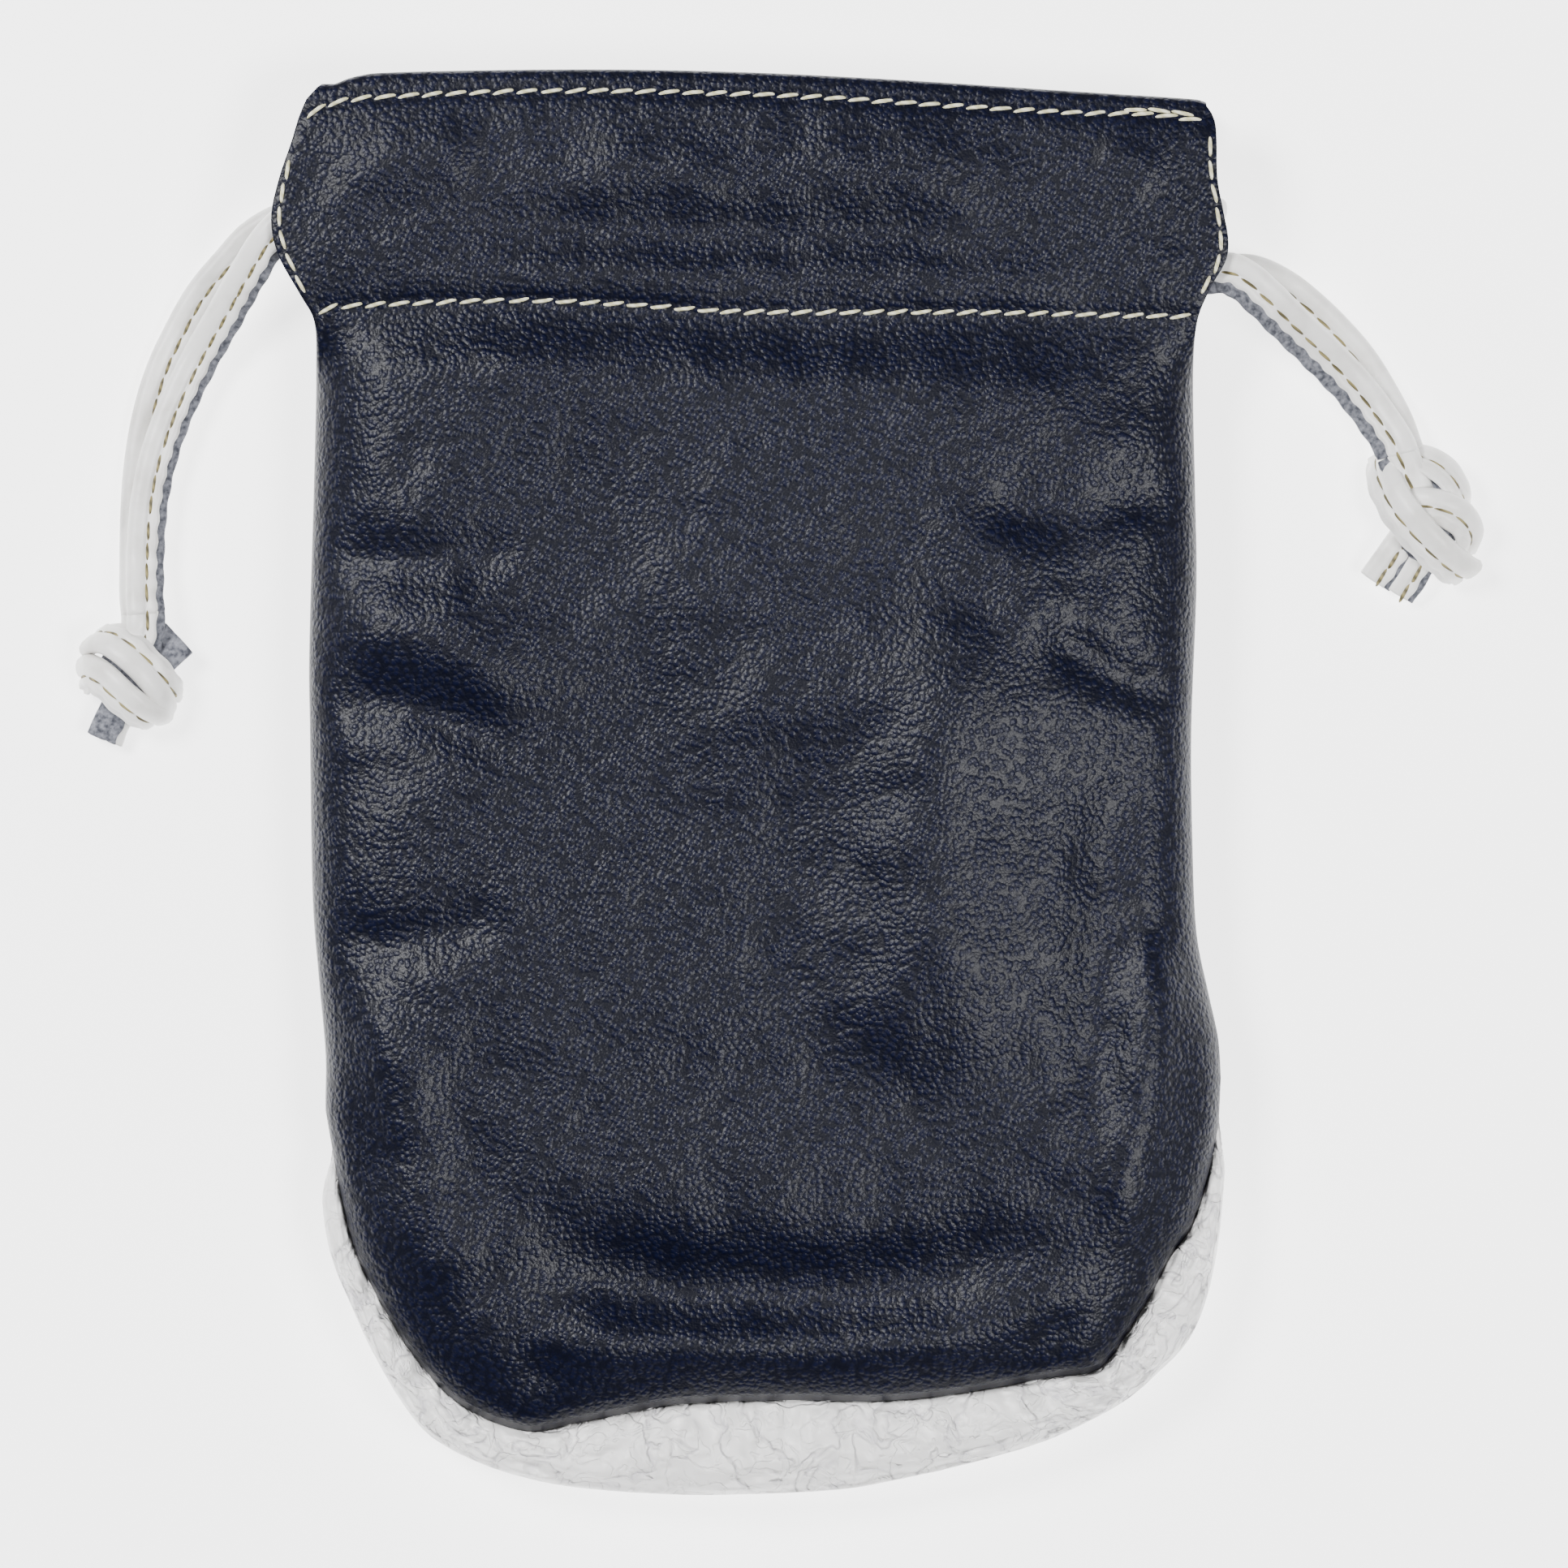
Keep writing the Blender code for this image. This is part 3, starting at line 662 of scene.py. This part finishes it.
lace_section = [
    (-2.75, -0.1), (-2.6, 0.6), (-2.1, 1.05), (-1.3, 1.22), (-0.4, 1.12), (0.15, 0.85),
    (0.45, 0.42), (0.8, 0.72), (1.3, 0.72), (1.8, 0.62), (1.95, 0.1), (2.7, 0.0),
    (2.85, -0.45), (2.2, -0.8), (0.8, -0.9), (-0.9, -1.15), (-2.1, -0.95),
]
scalloped = (8, 9, 10)  # the trimmed edge, nibbled by the stitches
flesh_faces = (10, 11)
table_gap = 0.1 * MM
lace_pitch = 3.5


def frames_along(path, normals):
    """Forward, side and up directions at each station. Side is on the left of the way ahead."""
    ahead = np.gradient(path, axis=0)
    ahead /= np.linalg.norm(ahead, axis=1)[:, None]
    up = normals - ahead * np.sum(normals * ahead, axis=1)[:, None]
    up /= np.linalg.norm(up, axis=1)[:, None]
    return ahead, np.cross(up, ahead), up


def lace_strip(name, path, normals, flange, white, flesh, plump=1.0, flesh_reach=1.0, wide=1.0):
    """Sweep the folded section along path (millimetres). flange is 1 or -1: which side it is on."""
    ahead, side, up = frames_along(path, normals)
    gone = np.concatenate([[0], np.cumsum(np.linalg.norm(np.diff(path, axis=0), axis=1))])
    columns = len(lace_section)
    bm = bmesh.new()
    bmesh.ops.create_grid(bm, x_segments=columns, y_segments=len(path) - 1, size=1)
    for face in bm.faces:
        column = int((face.calc_center_median().x + 1) / 2 * columns)
        face.material_index = 1 if column in flesh_faces else 0
        face.smooth = True
    for vert in bm.verts:
        column = round((vert.co.x + 1) / 2 * columns) % columns
        row = round((vert.co.y + 1) / 2 * (len(path) - 1))
        u, v = lace_section[column]
        if column in scalloped:
            u += 0.16 * math.cos(2 * math.pi * gone[row] / lace_pitch)
        if column in (11, 12):
            u += (flesh_reach - 1) + 0.1 * math.sin(gone[row] * 1.3)
        wander = noise.noise(Vector((gone[row] / 2.4, column * 0.6, path[0][0])))
        v *= plump * (1 + 0.10 * wander)
        vert.co = (path[row] + side[row] * u * wide * flange + up[row] * v) * MM
        vert.co.z = max(vert.co.z, table_gap)
    bmesh.ops.remove_doubles(bm, verts=bm.verts, dist=0.001 * MM)
    ends = [edge for edge in bm.edges if edge.is_boundary]
    bmesh.ops.holes_fill(bm, edges=ends, sides=0)
    bmesh.ops.recalc_face_normals(bm, faces=bm.faces)
    piece = object_from(name, bm)
    piece.data.materials.append(white)
    piece.data.materials.append(flesh)
    return piece


def lace_stitches(bm, path, normals, flange, start=1.2, end=0.5, length=3.5):
    """The lace's own row of stitches, in the groove beside its flange."""
    ahead, side, up = frames_along(path, normals)
    gone = np.concatenate([[0], np.cumsum(np.linalg.norm(np.diff(path, axis=0), axis=1))])
    for at in np.arange(start, gone[-1] - end, lace_pitch):
        row = min(int(np.searchsorted(gone, at)), len(path) - 1)
        place = (path[row] + side[row] * 0.47 * flange + up[row] * 0.52) * MM
        add_stitch(
            bm, Vector(place), Vector(ahead[row]), Vector(up[row]), length * MM, 0.62 * MM, 0.1
        )


def lace_white():
    """Painted white lace leather, a little glossier than the gusset, with fine cross wrinkles."""
    material, tree, shader = new_material("white lace leather", 0.38)
    where = add_node(tree, "ShaderNodeTexCoord").outputs["Object"]
    grain = add_node(tree, "ShaderNodeTexNoise", Vector=where, Scale=700.0, Detail=5.0)
    scuff = add_node(tree, "ShaderNodeTexNoise", Vector=where, Scale=160.0, Detail=4.0)
    paleness = add_node(tree, "ShaderNodeMapRange", Value=scuff.outputs["Fac"], _1=0.3, _2=0.55)
    tone = add_node(
        tree, "ShaderNodeMix", {"data_type": "RGBA"},
        _0=paleness.outputs[0], _6=srgb("#DDDBD7"), _7=srgb("#F4F3F1"),
    )
    tree.links.new(tone.outputs[2], shader.inputs["Base Color"])
    bump = add_node(tree, "ShaderNodeBump", Strength=0.5, Distance=0.00015, Height=grain.outputs["Fac"])
    tree.links.new(bump.outputs[0], shader.inputs["Normal"])
    return material


def flesh_side():
    """The undyed flesh side of chrome-tanned leather: blue-grey, dull and fibrous."""
    material, tree, shader = new_material("blue-grey flesh side", 0.9)
    where = add_node(tree, "ShaderNodeTexCoord").outputs["Object"]
    fibre = add_node(tree, "ShaderNodeTexNoise", Vector=where, Scale=1300.0, Detail=6.0)
    spread = add_node(tree, "ShaderNodeMapRange", Value=fibre.outputs["Fac"], _1=0.35, _2=0.65)
    tone = add_node(
        tree, "ShaderNodeMix", {"data_type": "RGBA"},
        _0=spread.outputs[0], _6=srgb("#3F414A"), _7=srgb("#83858E"),
    )
    tree.links.new(tone.outputs[2], shader.inputs["Base Color"])
    bump = add_node(tree, "ShaderNodeBump", Strength=0.7, Distance=0.0002, Height=fibre.outputs["Fac"])
    tree.links.new(bump.outputs[0], shader.inputs["Normal"])
    return material


white_lace = lace_white()
flesh = flesh_side()
tan_thread = thread_material("olive-tan thread, darkened by handling", "#8C8154", "#4A4329")

# Each strand's route in plan, from the slit to the knot, as steps from the point where it
# leaves the channel: (outwards, towards the mouth).
routes = {
    ("left", "back"): [
        (0, 0), (4.6, 0.1), (8, -0.4), (12, -2.8), (15.2, -6.2), (19.7, -11.5), (23.3, -17.8),
        (26, -23.8), (28, -30.8), (29.2, -38.5), (29.7, -47.1), (29.7, -56.3), (29.3, -60.6),
    ],
    ("left", "front"): [
        (0, 0), (4.6, -0.2), (8.6, -3.4), (12.4, -8.9), (16.2, -15), (20, -21.2), (23.8, -29),
        (26.3, -36), (27.8, -43), (28.4, -50.4), (28.4, -57), (28.2, -60.6),
    ],
    ("right", "back"): [
        (0, 0), (4.6, 0.2), (8.8, 0.1), (13.4, -2), (17.6, -5.2), (21.7, -9.1), (25.4, -13.4),
        (28.4, -18.2), (30.6, -22.6), (31.9, -26.4),
    ],
    ("right", "front"): [
        (0, 0), (4.4, -0.1), (7.2, -1.4), (10.3, -4), (14.2, -7.6), (19.3, -12.1), (24.3, -17),
        (28.1, -22), (30.6, -26.2), (31.2, -27.9),
    ],
}
bend_start = 66.6
lace_thickness = 2.4
upright = np.array([0.0, 0.0, 1.0])


def strand_path(hand, face):
    """A strand leaves its channel, falls to the table and rises to the knot at its end."""
    way = -1 if hand == "left" else 1
    low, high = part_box(f"{hand}_lace_{face}_run")
    lace_y = (low[1] + high[1]) / 2 / MM
    exit_z = (low[2] + high[2]) / 2 / MM
    plan = [(way * (bend_start - 0.2 + out), lace_y + up) for out, up in routes[hand, face]]
    path = curve_through([(x, y, 0) for x, y in plan], 90)
    gone = np.concatenate([[0], np.cumsum(np.linalg.norm(np.diff(path, axis=0), axis=1))])
    layer = 0.5 if face == "back" else 1.5
    # The front strand lies over the back one, with 0.7 mm between them.
    lie_z = 0.1 + layer * lace_thickness + (layer - 0.5) * 0.7
    # It goes on level for 7 mm, falls over the next 26 and lifts over its last 10.
    fallen = ease((gone - 7) / 26)
    risen = ease((gone - gone[-1] + 10) / 10)
    path[:, 2] = exit_z + (lie_z - exit_z) * fallen + 2.5 * risen
    return path


strand_paths = {}
for hand in ("left", "right"):
    way = -1 if hand == "left" else 1
    flange = -way
    for face in ("front", "back"):
        path = strand_path(hand, face)
        strand_paths[hand, face] = path
        normals = np.tile(upright, (len(path), 1))
        reach = 1.9 if (hand, face) == ("right", "front") else 1.2
        strand = lace_strip(
            f"{hand}_strand_{face}", path, normals, flange, white_lace, flesh, 1.0, reach
        )
        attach(strand, f"{hand}_lace")
        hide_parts(f"{hand}_lace_{face}_strand")
        bm = bmesh.new()
        lace_stitches(bm, path, normals, flange)
        stitches = object_from(f"{hand}_strand_{face}_stitches", bm)
        stitches.data.materials.append(tan_thread)
        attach(stitches, f"{hand}_lace")

        # The run inside the channel is the same strip, going straight on.
        low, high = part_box(f"{hand}_lace_{face}_run")
        run_y = (low[1] + high[1]) / 2 / MM
        run_z = (low[2] + high[2]) / 2 / MM
        ends = np.linspace(way * (bend_start - 0.25), -way * (bend_start - 0.4), 60)
        run = np.stack([ends, np.full(60, run_y), np.full(60, run_z)], 1)
        normals = np.tile(upright, (60, 1))
        piece = lace_strip(f"{hand}_run_{face}", run, normals, way, white_lace, flesh)
        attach(piece, f"{hand}_lace")
        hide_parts(f"{hand}_lace_{face}_run")
        bm = bmesh.new()
        lace_stitches(bm, run, normals, way)
        stitches = object_from(f"{hand}_run_{face}_stitches", bm)
        stitches.data.materials.append(tan_thread)
        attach(stitches, f"{hand}_lace")

    # The bend at the far slit, round both hems, from the front channel to the back one.
    front_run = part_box(f"{hand}_lace_front_run")
    back_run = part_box(f"{hand}_lace_back_run")
    run_y = (front_run[0][1] + front_run[1][1]) / 2 / MM
    top = (front_run[0][2] + front_run[1][2]) / 2 / MM
    bottom = (back_run[0][2] + back_run[1][2]) / 2 / MM
    turns = np.linspace(0, math.pi / 2, 12)
    xs = bend_start + 3 * np.sin(turns)
    zs = 3 * (1 - np.cos(turns))
    bend_x = np.concatenate([xs, [xs[-1]] * 3, xs[::-1]])
    straight = np.linspace(top - 3, bottom + 3, 5)[1:-1]
    bend_z = np.concatenate([top - zs, straight, (bottom + zs)[::-1]])
    bend = np.stack([-way * bend_x, np.full(len(bend_x), run_y), bend_z], 1)
    normals = bend - np.array([-way * (bend_start - 2), run_y, (top + bottom) / 2])
    piece = lace_strip(f"{hand}_bend", bend, normals, way, white_lace, flesh)
    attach(piece, "root")
    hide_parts(f"{hand}_lace_return_bend")

# ---------------------------------------------------------------------------------------
# Knots. Both strands of a lace are tied together in one overhand knot, so its wraps show
# as broad folded bands over a hidden core, with two short cut ends.

knots = {
    "left": {
        "centre": (-96.6, 16.4, 4.4),
        "half": (5.2, 6.6, 3.5),
        "neck": [(-0.3, -3.2, -0.2), (-0.9, -6.4, -1.8)],
        "bands": [
            ([(-102.6, 21.8, 2.2), (-101.2, 22.4, 5.6), (-98.8, 21.8, 8.0), (-95.6, 19.4, 9.0),
              (-92.6, 16.2, 8.2), (-90.9, 13.6, 5.4), (-90.8, 12.2, 2.2)], 1, 1.14),
            ([(-104.2, 16.6, 2.2), (-103.0, 16.8, 5.6), (-100.8, 15.6, 8.0), (-98.0, 13.0, 8.6),
              (-95.4, 10.9, 7.4), (-93.6, 9.9, 4.8), (-93.2, 9.8, 2.2)], -1, 1.1),
        ],
        "tails": [
            ([(-94.6, 18.0, 4.2), (-92.2, 20.4, 4.4), (-89.8, 22.6, 4.0)], 1.28, "flesh"),
            ([(-98.4, 12.4, 3.4), (-100.0, 9.4, 3.0), (-101.2, 6.8, 2.4)], 1.0, "flesh"),
        ],
    },
    "right": {
        "centre": (101.6, 41.2, 4.2),
        "half": (5.6, 7.2, 3.2),
        "neck": [(1.6, -3.9, -0.3), (3.4, -7.7, -2.0)],
        "bands": [
            ([(98.4, 49.8, 3.6), (101.2, 49.6, 5.6), (104.4, 47.6, 6.2), (106.6, 44.4, 5.0),
              (107.0, 42.0, 3.0)], -1, 1.12),
            ([(97.4, 41.6, 3.6), (99.6, 42.6, 6.8), (103.0, 42.3, 8.2), (106.4, 40.8, 7.4),
              (108.2, 38.2, 5.0), (107.4, 35.6, 2.8)], -1, 1.0),
            ([(95.0, 50.4, 2.4), (94.8, 47.4, 5.2), (96.6, 42.6, 8.2), (99.6, 38.6, 9.4),
              (103.0, 35.2, 8.6), (106.0, 32.9, 6.0), (107.6, 32.2, 3.0)], -1, 1.18),
        ],
        "tails": [
            ([(99.0, 38.4, 4.6), (96.2, 34.4, 3.8), (93.8, 31.0, 2.9)], 0.95, "white"),
            ([(102.2, 36.4, 4.0), (100.0, 32.6, 3.2), (97.6, 28.9, 2.2)], 0.85, "white"),
        ],
    },
}
for hand, knot in knots.items():
    centre = np.array(knot["centre"])
    made = []
    stitch_bm = bmesh.new()
    for face in ("front", "back"):
        # The strand goes on into the knot, under its top band.
        strand_line = strand_paths[hand, face]
        end = strand_line[-1]
        steps = [tuple(end + np.array(step)) for step in knot["neck"]]
        whole = curve_through([tuple(strand_line[-12]), tuple(end)] + steps, 60)
        before = np.linalg.norm(end - strand_line[-12])
        gone = np.concatenate([[0], np.cumsum(np.linalg.norm(np.diff(whole, axis=0), axis=1))])
        path = whole[gone >= before - 0.6]
        normals = np.tile(upright, (len(path), 1))
        flange = 1 if hand == "left" else -1
        reach = 1.9 if (hand, face) == ("right", "front") else 1.2
        neck = lace_strip(
            f"{hand}_knot_neck_{face}", path, normals, flange, white_lace, flesh, 0.95, reach
        )
        made.append(neck)
        lace_stitches(stitch_bm, path, normals, flange)
    for index, (points, flange, wide) in enumerate(knot["bands"]):
        path = curve_through(points, 50)
        normals = path - (centre - np.array([0, 0, 3.5]))
        band = lace_strip(
            f"{hand}_knot_band_{index}", path, normals, flange, white_lace, white_lace,
            1.15, 0.9, wide,
        )
        made.append(band)
        lace_stitches(stitch_bm, path, normals, flange, start=2.0, end=1.5)
    for index, (points, wide, shown) in enumerate(knot["tails"]):
        path = curve_through(points, 24)
        normals = np.tile(upright, (len(path), 1))
        skin, lining = (flesh, white_lace) if shown == "flesh" else (white_lace, flesh)
        tail = lace_strip(
            f"{hand}_knot_tail_{index}", path, normals, 1, skin, lining, 0.8, 1.1, wide
        )
        made.append(tail)
        if shown == "white":
            lace_stitches(stitch_bm, path, normals, 1, start=1.0)
    core_bm = bmesh.new()
    bmesh.ops.create_icosphere(core_bm, subdivisions=4, radius=1)
    for vert in core_bm.verts:
        bulge = 1 + 0.08 * noise.noise(vert.co * 2.2)
        vert.co = Vector((
            (centre[0] + vert.co.x * knot["half"][0] * bulge) * MM,
            (centre[1] + vert.co.y * knot["half"][1] * bulge) * MM,
            (centre[2] - 0.4 + vert.co.z * knot["half"][2] * bulge) * MM,
        ))
    for facet in core_bm.faces:
        facet.smooth = True
    core = object_from(f"{hand}_knot_core", core_bm)
    core.data.materials.append(flesh)
    made.append(core)
    for piece in made:
        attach(piece, f"{hand}_lace")
    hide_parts(f"{hand}_lace_knot")
    stitches = object_from(f"{hand}_knot_stitches", stitch_bm)
    stitches.data.materials.append(tan_thread)
    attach(stitches, f"{hand}_lace")
    made.append(stitches)
    for face in ("front", "back"):
        path = strand_paths[hand, face]

# ---------------------------------------------------------------------------------------
# Floor, light and camera. The floor is a white light table, which keeps the ground clean.
# A softbox stands on each side, well off the camera, so sheen falls on the sides of the folds.

floor_bm = bmesh.new()
bmesh.ops.create_grid(floor_bm, x_segments=1, y_segments=1, size=3)
for vert in floor_bm.verts:
    # Clear of the back panel, so that the two faces never share a plane.
    vert.co.z = -0.2 * MM
floor = object_from("floor", floor_bm)
floor_material, _, floor_shader = new_material("white light table", 0.9)
floor_shader.inputs["Base Color"].default_value = (0.93, 0.93, 0.93, 1)
floor_shader.inputs["Emission Color"].default_value = (1, 1, 1, 1)
floor_shader.inputs["Emission Strength"].default_value = 2.6
floor.data.materials.append(floor_material)


def add_light(name, place, target, size, power):
    light = bpy.data.lights.new(name, "AREA")
    light.shape = "DISK"
    light.size = size
    light.energy = power
    lamp = bpy.data.objects.new(name, light)
    bpy.context.scene.collection.objects.link(lamp)
    lamp.location = place
    lamp.rotation_euler = (Vector(target) - Vector(place)).to_track_quat("-Z", "Y").to_euler()


add_light("right_softbox", (0.56, -0.23, 1.08), (0, 0, 0), 0.46, 16)
add_light("left_softbox", (-0.62, 0.42, 0.98), (0, 0, 0), 0.42, 21)
world = bpy.data.worlds.new("room")
world.use_nodes = True
world.node_tree.nodes["Background"].inputs[0].default_value = (1, 1, 1, 1)
world.node_tree.nodes["Background"].inputs[1].default_value = 0.09
bpy.context.scene.world = world

camera_data = bpy.data.cameras.new("camera")
camera = bpy.data.objects.new("camera", camera_data)
bpy.context.scene.collection.objects.link(camera)
frame_width = 238.5 * MM
camera_height = 1.4
camera_data.sensor_width = 36
camera_data.lens = 36 * camera_height / frame_width
camera.location = (3.2 * MM, -0.1 * MM, camera_height + 15 * MM)
bpy.context.scene.camera = camera
